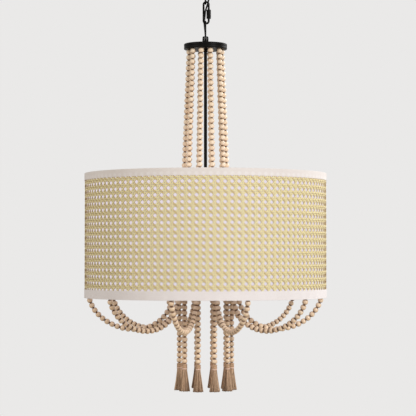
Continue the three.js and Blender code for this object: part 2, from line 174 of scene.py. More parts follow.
class Finish(Tree):
    """A material with one Principled shader."""

    def __init__(self, name, constants):
        self.material = bpy.data.materials.new(name)
        self.material.use_nodes = True
        self.tree = self.material.node_tree
        self.shader = self.tree.nodes["Principled BSDF"]
        for socket, value in constants.items():
            self.shader.inputs[socket].default_value = value

    def place(self, output="Object"):
        return self.wire("TexCoord", output=output)

    def attribute(self, name, output="Fac"):
        return self.wire("Attribute", output=output, attribute_name=name)

    def noise(self, vector, scale, detail=3.0, rough=0.5):
        return self.wire("TexNoise", {
            "Vector": vector, "Scale": scale, "Detail": detail, "Roughness": rough,
        })

    def feed(self, socket, wire):
        self.tree.links.new(wire.socket, self.shader.inputs[socket])

    def paint(self, ground, *layers):
        """The base colour: a ground, then layers over it, each a wire that says where, and a colour."""
        colour = tint(*ground)
        for share, layer in layers:
            colour = self.wire("Mix", {
                "Factor": share, "A": colour, "B": tint(*layer)}, "Result", data_type="RGBA")
        self.feed("Base Color", colour)

    def rough(self, wire):
        self.feed("Roughness", wire)

    def relief(self, height, depth, strength):
        """Makes the surface look raised by depth, in metres, where height is 1."""
        self.feed("Normal", self.wire("Bump", {
            "Strength": strength, "Distance": depth, "Height": height}, "Normal"))

    def mix_in(self, share, other):
        """Mixes the shader with another one."""
        both = self.node("MixShader", {0: share, 1: Wire(self.shader), 2: Wire(other)})
        self.tree.links.new(both.outputs[0], self.tree.nodes["Material Output"].inputs["Surface"])


print("white is", tint(255, 255, 255))

# %% [markdown]
# Round pieces are turned: a profile of radius and height pairs is swept about the vertical axis. Wire, rod
# and cord are tubes along a path. `soften` rounds a profile's corners, because no made edge is sharp. Its
# extra step beside each corner keeps flat parts flat under smooth shading.


# %% Mesh tools
def piece_of(name, mesh, finish):
    mesh.materials.append(finish)
    mesh.polygons.foreach_set("use_smooth", [True] * len(mesh.polygons))
    return add_object(name, mesh)


def mesh_from(name, build):
    """A mesh that a function fills."""
    mesh, work = bpy.data.meshes.new(name), bmesh.new()
    build(work)
    work.to_mesh(mesh)
    work.free()
    return mesh


def grid_mesh(name, rings, is_loop, uv, caps=False):
    """Skins equal rings of points, in mm. uv gives the coordinates of ring i and point j, in mm."""
    def skin(work):
        layer = work.loops.layers.uv.new("UVMap")
        rows = [[work.verts.new(Vector(point) * MM) for point in ring] for ring in rings]
        sides = len(rings[0])
        for i in range(len(rows) if is_loop else len(rows) - 1):
            after = rows[(i + 1) % len(rows)]
            for j in range(sides):
                k = (j + 1) % sides
                face = work.faces.new((rows[i][j], rows[i][k], after[k], after[j]))
                marks = (uv(i, j), uv(i, j + 1), uv(i + 1, j + 1), uv(i + 1, j))
                for loop, (u, v) in zip(face.loops, marks):
                    loop[layer].uv = (u * MM, v * MM)
        if caps:
            work.faces.new(list(reversed(rows[0])))
            work.faces.new(rows[-1])
        bmesh.ops.remove_doubles(work, verts=work.verts, dist=0.002 * MM)
    return mesh_from(name, skin)


def path_mesh(name, paths):
    """Bare edges along paths, in mm, for a recipe to follow."""
    mesh = bpy.data.meshes.new(name)
    points, edges = [], []
    for path in paths:
        first = len(points)
        points += [Vector(place) * MM for place in path]
        edges += [(first + i, first + i + 1) for i in range(len(path) - 1)]
    mesh.from_pydata(points, edges, [])
    return mesh


def soften(profile, radius, steps=4):
    """Rounds each inner corner of a profile, in mm, as far as its neighbours allow."""
    points = [Vector(place) for place in profile]
    result = points[:1]
    for before, corner, after in zip(points, points[1:], points[2:]):
        back, on = before - corner, after - corner
        reach = min(radius, 0.42 * back.length, 0.42 * on.length)
        back, on = back.normalized() * reach, on.normalized() * reach
        shares = [step / steps for step in range(steps + 1)]
        curve = [corner + back * (1 - share) ** 2 + on * share ** 2 for share in shares]
        result += [corner + back * 1.12, *curve, corner + on * 1.12]
    return [tuple(point) for point in result + points[-1:]]


def block(inner, outer, bottom, top, rounding):
    """The profile of a plain turned piece, open at its inside."""
    return soften([(inner, bottom), (outer, bottom), (outer, top), (inner, top)], rounding)


def running(points):
    """The way from the first point to each of the others, and back to the first."""
    lengths = [0.0]
    for here, after in zip(points, points[1:] + points[:1]):
        lengths.append(lengths[-1] + math.dist(here, after))
    return lengths


def turned(name, profile, finish, steps, is_loop=False, ripple=lambda angle, height: 0.0):
    """A piece turned about the vertical axis. A profile runs upwards on the outside."""
    lengths, widest, rings = running(profile), max(radius for radius, _ in profile), []
    turns = [FULL * j / steps for j in range(steps)]
    for radius, height in profile:
        reaches = [radius + ripple(turn, height) for turn in turns]
        rings.append([
            (out * math.sin(turn), -out * math.cos(turn), height) for out, turn in zip(reaches, turns)])
    mesh = grid_mesh(name, rings, is_loop, lambda i, j: (FULL * widest * j / steps, lengths[i]))
    return piece_of(name, mesh, finish)


def between(first, second, start, end, at):
    """The point at a time between two points that are passed at the times start and end."""
    return first * (end - at) / (end - start) + second * (at - start) / (end - start)


def flowing(points, per_span):
    """Points on a smooth curve through the given ones, spaced by the root of their distances."""
    places = [Vector(point) for point in points]
    ends = [2 * places[0] - places[1]] + places + [2 * places[-1] - places[-2]]
    line = []
    for p0, p1, p2, p3 in zip(ends, ends[1:], ends[2:], ends[3:]):
        t1 = max((p1 - p0).length, 1e-6) ** 0.5
        t2 = t1 + max((p2 - p1).length, 1e-6) ** 0.5
        t3 = t2 + max((p3 - p2).length, 1e-6) ** 0.5
        for step in range(per_span):
            t = t1 + (t2 - t1) * step / per_span
            a1, a2, a3 = between(p0, p1, 0, t1, t), between(p1, p2, t1, t2, t), between(p2, p3, t2, t3, t)
            line.append(between(between(a1, a2, 0, t2, t), between(a2, a3, t1, t3, t), t1, t2, t))
    line.append(places[-1])
    return line


def tube(name, path, radius, finish, sides, is_loop=False):
    """A round tube along a path in mm. Each ring turns as little as it can from the one before."""
    places = [Vector(point) for point in path]
    lengths, count, side, rings = running(places), len(places), None, []
    for i, place in enumerate(places):
        before = places[i - 1] if i or is_loop else place
        after = places[(i + 1) % count] if i < count - 1 or is_loop else place
        ahead = (after - before).normalized()
        if side is None:
            side = ahead.orthogonal().normalized()
        side = (side - ahead * side.dot(ahead)).normalized()
        up = ahead.cross(side)
        rings.append([
            place + radius * (math.cos(FULL * j / sides) * side + math.sin(FULL * j / sides) * up)
            for j in range(sides)
        ])
    mesh = grid_mesh(
        name, rings, is_loop, lambda i, j: (FULL * radius * j / sides, lengths[i]), caps=not is_loop)
    return piece_of(name, mesh, finish)


def applied(thing):
    """The plain mesh of an object after its modifiers. The object itself is removed."""
    mesh = bpy.data.meshes.new_from_object(thing.evaluated_get(bpy.context.evaluated_depsgraph_get()))
    bpy.data.objects.remove(thing)
    mesh.materials.clear()
    return mesh


def joined(name, pieces):
    """Makes one piece of several that share one finish."""
    work = bmesh.new()
    for piece in pieces:
        work.from_mesh(piece.data)
    work.to_mesh(pieces[0].data)
    work.free()
    for other in pieces[1:]:
        bpy.data.objects.remove(other)
    pieces[0].name = pieces[0].data.name = name
    return pieces[0]


def moved(piece, x, y, z):
    piece.data.transform(Matrix.Translation((x * MM, y * MM, z * MM)))
    return piece


def turned_to(piece, angle, reach, height=0.0):
    """Moves a mesh outwards along +X, up, and round the vertical axis to an angle from the front."""
    moved(piece, reach, 0, height).data.transform(Matrix.Rotation(angle - FULL / 4, 4, "Z"))
    return piece


def settle(piece, body, *nodes, slot=None):
    """The piece moves with a body, and stands for the solids that are named."""
    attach(piece, body)
    if nodes:
        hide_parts(*nodes)
    print(f"{piece.name}: {len(piece.data.polygons)} faces, moves with {body}")
    return piece


STRAND_ANGLES = [math.radians(20) + FULL * i / 10 for i in range(10)]
SPOKE_ANGLES = [math.radians(38) + FULL * i / 5 for i in range(5)]
print("strands at", [round(math.degrees(angle)) for angle in STRAND_ANGLES])

# %% [markdown]
# What repeats is made with Geometry Nodes. A recipe is a tree with named inputs. `make` hangs it on an object
# for a moment and keeps only the plain mesh that comes out.


# %% Recipe
class Recipe(Tree):
    """A Geometry Nodes tree. Each has a seed and a finish beside its own inputs."""
    family = "GeometryNode"

    def __init__(self, name, counts, sizes, objects=()):
        self.tree = bpy.data.node_groups.new(name, "GeometryNodeTree")
        face = self.tree.interface
        for way in ("INPUT", "OUTPUT"):
            face.new_socket("Geometry", in_out=way, socket_type="NodeSocketGeometry")
        kinds = {"Int": (*counts, "Seed"), "Float": sizes, "Object": objects, "Material": ("Finish",)}
        self.sockets = {
            title: face.new_socket(title, in_out="INPUT", socket_type="NodeSocket" + kind)
            for kind, titles in kinds.items() for title in titles
        }
        self.entry = self.tree.nodes.new("NodeGroupInput")

    def __getitem__(self, title):
        return Wire(self.entry, title)

    def random(self, low, high, salt):
        return self.wire("FunctionNodeRandomValue", {
            "Min": low, "Max": high, "Seed": self["Seed"] + salt,
        }, "Value", data_type="FLOAT")

    def keep(self, geometry, values, kind="FLOAT"):
        """Stores values on the geometry, so that a later node or the finish can read them."""
        for title, value in values.items():
            geometry = self.wire("StoreNamedAttribute", {
                "Geometry": geometry, "Name": title, "Value": value}, data_type=kind)
        return geometry

    def kept(self, title, kind="FLOAT"):
        return self.wire("InputNamedAttribute", {"Name": title}, "Attribute", data_type=kind)

    def strips(self, prefix, length, marks):
        """A flat strip for every strand. It knows its marks, and how far round and along each point is."""
        strip = self.wire("MeshGrid", {
            "Size X": 1.0, "Size Y": 1.0, "Vertices X": 5, "Vertices Y": length}, "Mesh")
        x, y, _ = self.axes(self.wire("InputPosition"))
        strip = self.keep(strip, {prefix + "round": x + 0.5, prefix + "along": y + 0.5})
        points = self.wire("Points", {"Count": self["Strands"]})
        points = self.keep(points, {prefix + mark: value for mark, value in marks.items()})
        strips = self.wire("InstanceOnPoints", {"Points": points, "Instance": strip})
        return self.wire("RealizeInstances", {"Geometry": strips})

    def roll_up(self, strips, seam, **places):
        """Moves the strips' points to where they belong and closes the seam along each strip."""
        strips = self.wire("SetPosition", {"Geometry": strips, **places})
        self.end(self.wire("MergeByDistance", {"Geometry": strips, "Distance": seam}))

    def end(self, geometry):
        real = self.wire("RealizeInstances", {"Geometry": geometry})
        self.node("NodeGroupOutput", {0: self.wire("SetMaterial", {
            "Geometry": real, "Material": self["Finish"]})})

    def make(self, name, finish, values, paths=([(0, 0, 0)],)):
        carrier = add_object(name + "_carrier", path_mesh(name + "_path", paths))
        modifier = carrier.modifiers.new("recipe", "NODES")
        modifier.node_group = self.tree
        for title, value in {"Finish": finish, **values}.items():
            modifier[self.sockets[title].identifier] = value
        mesh = applied(carrier)
        mesh.name = name
        return piece_of(name, mesh, finish)


print("recipes ready")

# %% [markdown]
# The metal is steel with a black satin powder coat: a little uneven in gloss, with the fine orange peel of
# baked powder and a dusting of scuffs. The zinc plated parts, and the candle sleeves and bulbs further down,
# have a plain finish: two tones in soft clouds.


# %% Metal finishes
def make_black_satin():
    finish = Finish("black_satin", {"Specular IOR Level": 0.05})
    place = finish.place()
    peel = finish.noise(place, 900, 2)
    cloud = finish.noise(place, 28, 4, 0.6)
    scuff = finish.noise(place, 210, 5, 0.7).ramp(0.58, 0.8)
    finish.paint((12, 12, 11), (cloud, (24, 23, 21)), (scuff * 0.3, (42, 40, 38)))
    finish.rough(0.34 + 0.16 * cloud + 0.1 * scuff)
    finish.relief(peel, 0.00004, 0.6)
    return finish.material


def make_plain(name, constants, clouds, tones, grain_scale, grain_depth, strength, gloss=None):
    """gloss, where given, is the roughness and how much the clouds and the grain add to it."""
    finish = Finish(name, constants)
    place = finish.place()
    cloud, grain = finish.noise(place, *clouds), finish.noise(place, grain_scale, 2)
    finish.paint(tones[0], (cloud, tones[1]))
    if gloss:
        rough = gloss[0] + gloss[1] * cloud
        finish.rough(rough + gloss[2] * grain if gloss[2] else rough)
    finish.relief(grain, grain_depth, strength)
    return finish.material


black_satin = make_black_satin()
zinc_steel = make_plain(
    "zinc_steel", {"Metallic": 1.0}, (60, 4, 0.6), [(190, 190, 184), (158, 158, 156)], 700, 0.00002, 0.5,
    gloss=(0.28, 0.2, 0.06))
print("metals:", black_satin.name, zinc_steel.name)

# %% [markdown]
# The power cord is woven through the chain, so it bends with every link. It is made in four lengths, cut
# from one smooth line.


# %% Power cord
def make_cord_cover():
    finish = Finish("braided_cover", {"Roughness": 0.62, "Specular IOR Level": 0.1})
    u, v, _ = finish.axes(finish.place("UV"))
    rising = ((u + v) * (FULL / 0.0011)).sin()
    falling = ((u - v) * (FULL / 0.0011)).sin()
    braid = (rising * falling).ramp(-0.7, 0.9)
    grain = finish.noise(finish.place(), 600, 3)
    finish.paint((10, 10, 10), (braid, (30, 29, 29)), (grain * 0.3, (46, 44, 43)))
    finish.relief(braid, 0.00018, 0.8)
    return finish.material


CORD_ROUTE = [
    (-14, 14, -12), (-14, 14, -24), (-13.5, 12, -36), (-12, 5, -52), (-8, 0.5, -65), (0, -0.5, -74),
    (6.5, -3.5, -83), (6, -7.2, -93), (2.5, -7.6, -104), (-0.4, -5, -113.5), (-1.3, 0, -120.5),
    (-2, 5, -127.5), (-2.8, 9.6, -137), (-2, 12, -147), (-0.6, 13.3, -160), (0, 13.5, -174),
    (0, 13.5, -186), (0, 13.5, -198),
]
CORD_LENGTHS = [  # last height of a length, its two bodies, and the heights between which it changes over
    (-68, "ceiling_part", "upper_link", -30, -60),
    (-113.5, "upper_link", "quick_link_body", -78, -103),
    (-159, "quick_link_body", "lower_link", -124, -149),
    (-198, "lower_link", "fixture", -168, -190),
]
CORD_OVERLAP = 2.2  # how far a length runs on into the next one
cord_cover = make_cord_cover()
cord_line = flowing(CORD_ROUTE, 8)
top = 0.0
for number, (bottom, upper_body, lower_body, start, end) in enumerate(CORD_LENGTHS, 1):
    stretch = [place for place in cord_line if top + 1e-6 >= place.z >= bottom - CORD_OVERLAP]
    cord = tube(f"power_cord_{number}", stretch, 2.0, cord_cover, 14)
    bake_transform(cord)
    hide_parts("power_cord")
    top = stretch[-1].z
    print(cord.name, "ends at", round(top, 1))

# %% [markdown]
# The canopy is a spun steel cup that hides the crossbar. Under it hang the loop and the chain: two plain
# links, and between them a quick link whose leg is closed by a screwed sleeve.


# %% Canopy and chain
def link_path(length, width, wire):
    """The middle line of a chain link in the XZ plane."""
    bend = width / 2 - wire
    straight = length / 2 - wire - bend
    turns = [(height, math.radians(first + degrees)) for height, first in ((straight, 0), (-straight, 180))
             for degrees in range(0, 181, 15)]
    return [(bend * math.cos(turn), 0, height + bend * math.sin(turn)) for height, turn in turns]


def bushing(name, x, y, z):
    """A black rubber ring where the cord passes through a plate."""
    return moved(turned(name, block(2.05, 3.9, -1.1, 1.1, 0.6), black_satin, 32), x, y, z)


CANOPY_HOLE, CANOPY_WALL = 5.4, 1.2
canopy_side = flowing([(63.5, 0, 0), (63.4, -5, 0), (58, -13.5, 0), (46.5, -20.5, 0), (34, -26, 0)], 6)
canopy_outer = [(CANOPY_HOLE, -26), (20, -26), (30, -26)] + [(x, y) for x, y, _ in reversed(canopy_side)]
canopy_inner = [
    (max(x - CANOPY_WALL, CANOPY_HOLE), min(y + CANOPY_WALL, 0)) for x, y in reversed(canopy_outer)]
canopy = turned("canopy_cup", canopy_outer + canopy_inner, black_satin, 96, is_loop=True)
settle(canopy, "ceiling_part", "ceiling_canopy", slot="black_metal")
settle(bushing("canopy_bushing", -14, 14, -26.2), "ceiling_part")

collar = turned("loop_collar", block(0, 9.5, -34.3, -26.3, 1.4), black_satin, 64)
ring_path = [(9 * math.cos(FULL * i / 40), 0, -40.8 + 9 * math.sin(FULL * i / 40)) for i in range(40)]
eye = tube("loop_eye", ring_path, 2.5, black_satin, 14, is_loop=True)
settle(joined("hanging_loop", [collar, eye]), "ceiling_part", "canopy_loop", slot="black_metal")

for name, node, body, middle in (
    ("plain_link_upper", "chain_link_upper", "upper_link", -70.0),
    ("plain_link_lower", "chain_link_lower", "lower_link", -161.4),
):
    path = [(0, x, middle + z) for x, _, z in link_path(54, 16, 2)]
    settle(tube(name, path, 2.0, black_satin, 14, is_loop=True), body, node, slot="black_metal")

LINK_MIDDLE, LINK_ASIDE = -115.7, 1.5  # the quick link hangs a little to the side
LINK_LEG = 6 + LINK_ASIDE  # the leg that the sleeve closes


def make_quick_link():
    """An open link: the gap in its right leg is where the sleeve screws shut."""
    gap_middle = LINK_MIDDLE - 8
    leg = [(LINK_LEG, 0, gap_middle + rise) for rise in (2.5, 8, -10.5, -2.5)]
    bends = [(x + LINK_ASIDE, 0, LINK_MIDDLE + z) for x, _, z in link_path(54.8, 16.8, 2.4)]
    return tube("quick_link_wire", leg[:2] + bends + leg[2:], 2.4, black_satin, 14)


def six_flats(angle, height):
    return -0.22 * (1 - math.cos(6 * angle)) if abs(height) < 9.4 else 0.0


settle(make_quick_link(), "quick_link_body", "quick_link", slot="black_metal")
sleeve_profile = block(2.5, 5.2, -10.5, 10.5, 0.9)
sleeve = turned("screw_sleeve", sleeve_profile + sleeve_profile[:1], black_satin, 48, ripple=six_flats)
settle(moved(sleeve, LINK_LEG, 0, -119.2), "sleeve_body", "quick_link_sleeve", slot="black_metal")

# %% [markdown]
# The chain ends in a fork on the crown disc, with a pin through it. The disc is a thick turned plate with a
# fine groove round its rim. Below it the rod carries everything else.

# %% Fork, crown disc and rod
fork = turned("fork_blank", soften([
    (0, -189.8), (7.9, -189.8), (7.3, -178), (6.8, -171.2), (0, -171.2),
], 1.6), black_satin, 64)
SLOT_PLACE, SLOT_SIZE = (0, 0, -0.1791), (0.0044, 0.02, 0.02, 1)
cutter = add_object("fork_slot", mesh_from("fork_slot", lambda work: bmesh.ops.create_cube(
    work, size=1, matrix=Matrix.Translation(SLOT_PLACE) @ Matrix.Diagonal(SLOT_SIZE))))
carve = fork.modifiers.new("slot", "BOOLEAN")
carve.operation, carve.object, carve.solver = "DIFFERENCE", cutter, "EXACT"
fork = piece_of("stem_fork", applied(fork), black_satin)
bpy.data.objects.remove(cutter)
for edge in fork.data.edges:
    edge.use_edge_sharp = False
fork.data.set_sharp_from_angle(angle=math.radians(40))
settle(fork, "fixture", "stem_clevis", slot="black_metal")

pin = turned("fork_pin", block(0, 2, -7.4, 7.4, 0.5), zinc_steel, 32)
pin.data.transform(Matrix.Rotation(FULL / 4, 4, "Y"))
settle(moved(pin, 0, 0, -182.1), "fixture", "stem_pin", slot="bright_steel")

ROD_BORE, ROD_SEAT = 2, 3.8  # the rod's hole, and the hole that it goes through in each piece
disc = turned("crown_plate", soften([
    (ROD_SEAT, -201.6), (50, -201.6), (50, -196.0), (49.1, -196.0), (49.1, -194.6), (50, -194.6),
    (50, -188.9), (ROD_SEAT, -188.9),
], 1.6, 5), black_satin, 128)
settle(disc, "fixture", "crown_disc", slot="black_metal")
settle(bushing("crown_bushing", 0, 13.5, -188.8), "fixture")
rod = turned("centre_tube", block(ROD_BORE, 3.75, -770.3, -190.4, 0.4), black_satin, 32)
settle(rod, "fixture", "centre_rod", slot="black_metal")

# %% [markdown]
# The beads are turned from pale wood. The recipe stores each bead's own coordinates, so that the grain runs
# along its hole, and a random tone, so that no two are alike. Round the hole each bead is painted dark brown:
# painted shade where the beads touch. The beads below the shade get more painted shade, a little browner and
# darker, as the photograph has them.


# %% Bead and yarn finishes
def make_bead_wood():
    finish = Finish("bead_wood", {"Specular IOR Level": 0.9})
    # low is 1 on the beads below the shade. They get painted shade: a browner tone and wider crevice shade.
    tone, low = finish.attribute("bead_tone"), finish.attribute("bead_low")
    x, y, z = finish.axes(finish.attribute("bead_place", "Vector"))
    shift = tone * 37
    grain = finish.noise(finish.vector(x * 3.2 + shift, y * 3.2, z * 0.7), 1.6, 5, 0.6)
    pores = finish.noise(finish.vector(x * 16 + shift, y * 16, z * 2.5), 2.0, 2)
    # Painted shade: each bead darkens towards its hole, where it touches its neighbours, and more so below the
    # shade.
    crevice_shade = (z.abs() + low * 0.07).ramp(0.54, 0.93)
    finish.paint(
        (255, 239, 214), (grain.ramp(0.3, 0.72), (238, 210, 175)), (tone * 7.3 % 1.0 * 0.4, (228, 192, 154)),
        (pores.ramp(0.6, 0.8) * 0.35, (186, 142, 102)), (low * 0.2, (246, 198, 144)),
        (crevice_shade * 0.92, (106, 62, 30)),
    )
    finish.rough(0.36 + 0.2 * grain)
    finish.relief(pores * 0.6 + grain * 0.4, 0.00012, 0.5)
    return finish.material


def make_jute():
    finish = Finish("jute_thread", {"Roughness": 0.85})
    u, v, _ = finish.axes(finish.place("UV"))
    twist = ((v + u * 1.4) * (FULL / 0.0016)).sin().ramp(-1, 1)
    fluff = finish.noise(finish.place(), 900, 3)
    finish.paint((138, 108, 78), (twist * 0.6 + fluff * 0.4, (206, 180, 146)))
    finish.relief(twist, 0.0002, 0.7)
    return finish.material


bead_wood = make_bead_wood()
jute = make_jute()
print("beads:", bead_wood.name, "thread:", jute.name)

# %% [markdown]
# One recipe strings all the beads. It puts a point at the middle of every bead and turns a copy of one turned
# bead so that its hole follows the path. The bead has few faces, because there are hundreds of it.


# %% Bead recipe
BEAD_FIT = 0.5 / 0.95  # makes a bead's two flat ends touch its neighbours'
SHADED_BELOW = -700  # beads on a string that starts below this height get painted shade: browner and darker


def make_bead_form():
    heights = (-0.95, -0.75, -0.4, 0, 0.4, 0.75, 0.95)
    profile = [(0, -0.84)] + [(math.sqrt(1 - z * z), z) for z in heights] + [(0, 0.84)]
    form = turned("bead_form", [(x / MM, z / MM) for x, z in profile], bead_wood, 10)
    form.hide_render = True
    return form


def make_bead_recipe():
    recipe = Recipe("string_of_beads", ["Beads", "Strands"], ["Start", "Pitch", "Radius", "Low"], ["Bead"])
    path = recipe.wire("MeshToCurve", {"Mesh": recipe["Geometry"]})
    beads = recipe["Beads"]
    points = recipe.wire("Points", {"Count": beads * recipe["Strands"]})
    index = recipe.wire("InputIndex")
    strand = ((index + 0.5) / beads).floor()
    along = recipe["Start"] + recipe["Pitch"] * (index - strand * beads + 0.5)
    walk = recipe.node("SampleCurve", {"Curves": path, "Length": along, "Curve Index": strand}, mode="LENGTH")
    points = recipe.keep(points, {"bead_tone": recipe.random(0.0, 1.0, 1), "bead_low": recipe["Low"]})
    points = recipe.keep(points, {"bead_aim": Wire(walk, "Tangent")}, "FLOAT_VECTOR")
    points = recipe.wire("SetPosition", {"Geometry": points, "Position": Wire(walk, "Position")})
    facing = recipe.wire("FunctionNodeAlignRotationToVector", {
        "Vector": recipe.kept("bead_aim", "FLOAT_VECTOR")}, axis="Z")
    roll = recipe.wire("FunctionNodeAxisAngleToRotation", {
        "Axis": (0, 0, 1), "Angle": recipe.random(0.0, FULL, 2)})
    facing = recipe.wire("FunctionNodeRotateRotation", {
        "Rotation": facing, "Rotate By": roll}, rotation_space="LOCAL")
    form = recipe.wire("ObjectInfo", {"Object": recipe["Bead"]}, "Geometry")
    form = recipe.keep(form, {"bead_place": recipe.wire("InputPosition")}, "FLOAT_VECTOR")
    size = recipe["Radius"] * recipe.random(0.955, 1.0, 3)
    recipe.end(recipe.wire("InstanceOnPoints", {
        "Points": points, "Instance": form, "Rotation": facing,
        "Scale": recipe.vector(size, size, recipe["Pitch"] * BEAD_FIT),
    }))
    return recipe


def spread(path, angle):
    """Takes a path in the XZ plane, +X outwards, to an angle from the front."""
    sine, cosine = math.sin(angle), math.cos(angle)
    return [(x * sine + y * cosine, y * sine - x * cosine, z) for x, y, z in path]


def string_beads(name, paths, count, start, pitch, radius, seed):
    beads = bead_recipe.make(name, bead_wood, {
        "Beads": count, "Strands": len(paths), "Start": start * MM, "Pitch": pitch * MM, "Radius": radius * MM,
        "Low": float(paths[0][0][2] < SHADED_BELOW), "Seed": seed, "Bead": bead_form,
    }, paths)
    threads = [tube(f"{name}_thread_{i}", path, 0.9, jute, 8) for i, path in enumerate(paths)]
    return beads, joined(f"{name}_thread", threads)


REACH = 60.3  # radius at which the strands meet the lower frame
bead_form = make_bead_form()
bead_recipe = make_bead_recipe()
TOP_SLIPS = [math.radians(slip) for slip in (-2.5, -1, 2, -2, 1, -2, 2, -1, 3.5, 1)]
upper_paths = [
    spread([(38, 0, -200.7)], angle + slip) + spread([(REACH, 0, -759.0)], angle)
    for angle, slip in zip(STRAND_ANGLES, TOP_SLIPS)
]
upper_beads, upper_threads = string_beads("upper_beads", upper_paths, 44, 0.6, 12.56, 6.6, 11)
settle(upper_beads, "fixture", *[f"upper_strand_{i}" for i in range(1, 11)], slot="wood_beads")
settle(upper_threads, "fixture")

# %% [markdown]
# A swag hangs from the inner ring to the rim like a slack chain. Its ends drop steeply, because it is much
# longer than the way across. Each is a piece of its own, because each can swing.

# %% Swags
SWAG = {"inner": 75, "outer": 270, "drop": 87, "lean": 8, "top": -763}
SWAG_BEADS, SWAG_BEAD, SWAG_ENDS = 22, 6.75, (5.4, 1)  # their number, radius, and the bare thread at both ends


def swag_line(steps=160):
    middle, half = (SWAG["inner"] + SWAG["outer"]) / 2, (SWAG["outer"] - SWAG["inner"]) / 2
    turns = [math.pi * i / steps for i in range(steps + 1)]
    return [(
        middle - half * math.cos(turn) - SWAG["lean"] * math.sin(turn) ** 2, 0,
        SWAG["top"] - SWAG["drop"] * math.sin(turn),
    ) for turn in turns]


line = swag_line()
swag_pitch = (sum(math.dist(a, b) for a, b in zip(line, line[1:])) - sum(SWAG_ENDS)) / SWAG_BEADS
for number, angle in enumerate(STRAND_ANGLES, 1):
    beads, thread = string_beads(
        f"swag_beads_{number}", [spread(line, angle)], SWAG_BEADS, SWAG_ENDS[0], swag_pitch, SWAG_BEAD,
        20 + number)
    settle(beads, f"swag_body_{number}", f"swag_{number}", slot="wood_beads")
    settle(thread, f"swag_body_{number}")
print("beads in a swag:", SWAG_BEADS, "pitch:", round(swag_pitch, 2))

# %% [markdown]
# Each hanging strand ends in a tassel of taupe yarn, tied with a paler band and cut level. The skirt is a
# recipe too: thin strands that start under the band, each with its own bend, length and tone, over a dark
# core that stops the light.


# %% Tassel finishes and recipe
def make_yarn(name, pale, dark, deep):
    finish = Finish(name, {"Roughness": 0.82, "Sheen Weight": 0.25, "Sheen Roughness": 0.5})
    tone, along = finish.attribute("yarn_tone"), finish.attribute("yarn_along")
    place = finish.place()
    x, y, z = finish.axes(place)
    streak = finish.noise(finish.vector(x * 5, y * 5, z * 0.35), 320, 3, 0.6)
    fibre = finish.noise(place, 1500, 3)
    finish.paint(dark, (tone, pale), (streak.ramp(0.35, 0.7) * 0.5, deep), (along.ramp(0.9, 1.0) * 0.4, deep))
    finish.relief(fibre * 0.5 + streak * 0.5, 0.0002, 0.7)
    return finish.material


def make_skirt_recipe():
    recipe = Recipe("tassel_skirt", ["Strands"], ["Inside", "Outside", "Length", "Yarn"])
    index = recipe.wire("InputIndex")
    threads = recipe.strips("yarn_", 7, {
        "angle": index * 2.39996 + recipe.random(-0.25, 0.25, 1),
        "depth": ((index + 0.5) / recipe["Strands"]) ** 0.5,
        "tone": recipe.random(0.0, 1.0, 2), "cut": recipe.random(0.955, 1.0, 3),
        "sway": recipe.random(-1.0, 1.0, 4),
    })
    start, depth, cut, sway, share, along = [
        recipe.kept("yarn_" + mark) for mark in ("angle", "depth", "cut", "sway", "round", "along")]
    bend = (along * math.pi).sin() * sway
    angle = start + bend * 0.09 + sway * along * 0.06
    spread_out = along * along * 0.25 + along * 0.75
    reach = depth * (recipe["Inside"] + (recipe["Outside"] - recipe["Inside"]) * spread_out)
    reach = reach + bend * 0.0004 * depth
    around = share * FULL
    thick = recipe["Yarn"] * (1.0 - 0.25 * (along - 0.5).abs())
    outwards, sideways = reach + thick * around.cos(), thick * around.sin()
    recipe.roll_up(threads, 0.000002, Position=recipe.vector(
        outwards * angle.cos() - sideways * angle.sin(), outwards * angle.sin() + sideways * angle.cos(),
        along * cut * recipe["Length"] * -1.0,
    ))
    return recipe


skirt_yarn = make_yarn("tassel_yarn", (255, 220, 182), (154, 122, 96), (92, 64, 46))
head_yarn = make_yarn("head_yarn", (252, 212, 174), (206, 170, 136), (120, 88, 66))
band_yarn = make_yarn("band_yarn", (240, 214, 196), (236, 206, 186), (206, 168, 146))
skirt_recipe = make_skirt_recipe()
print("tassel recipe:", skirt_recipe.tree.name)

# %% [markdown]
# The strand and its tassel move together. The head is fluted, because it is yarn folded over a knot, and the
# band is three turns of yarn.

# %% Hanging strands and tassels
DANGLE = {"top": -762.6, "knot": 6, "beads": 13, "pitch": 12.2, "bead": 6.5}
HEAD_TOP = DANGLE["top"] - DANGLE["knot"] - DANGLE["beads"] * DANGLE["pitch"]
BAND_TOP = HEAD_TOP - 10
SKIRT_TOP = BAND_TOP - 3.5
SKIRT = {"Strands": 170, "Inside": 0.0049, "Outside": 0.0121, "Length": 0.05, "Yarn": 0.00072}


def fluted(turn, height):
    return 0.22 * math.cos(17 * turn + 0.25 * height)


def make_tassel(number, angle):
    head = turned(f"tassel_head_{number}", soften([
        (0, SKIRT_TOP - 1), (5.2, SKIRT_TOP - 1), (5.3, BAND_TOP), (6.1, BAND_TOP + 2.4), (5.2, BAND_TOP + 4.8),
        (6.0, BAND_TOP + 7.4), (4.9, HEAD_TOP - 0.9), (2.2, HEAD_TOP), (0, HEAD_TOP),
    ], 1.6), head_yarn, 51, ripple=fluted)
    core = turned(f"tassel_core_{number}", [
        (0, SKIRT_TOP - 47), (9.2, SKIRT_TOP - 47), (4.6, SKIRT_TOP - 8), (4.4, SKIRT_TOP), (0, SKIRT_TOP),
    ], skirt_yarn, 24)
    skirt = skirt_recipe.make(f"tassel_skirt_{number}", skirt_yarn, {**SKIRT, "Seed": 50 + number})
    moved(skirt, 0, 0, SKIRT_TOP)
    band_path = [
        (5.5 * math.cos(FULL * i / 24), 5.5 * math.sin(FULL * i / 24), BAND_TOP - 0.6 - 2.3 * i / 72)
        for i in range(73)
    ]
    band = tube(f"tassel_band_{number}", band_path, 0.62, band_yarn, 8)
    tassel = joined(f"tassel_{number}", [core, skirt])
    return [turned_to(piece, angle, REACH) for piece in (tassel, head, band)]


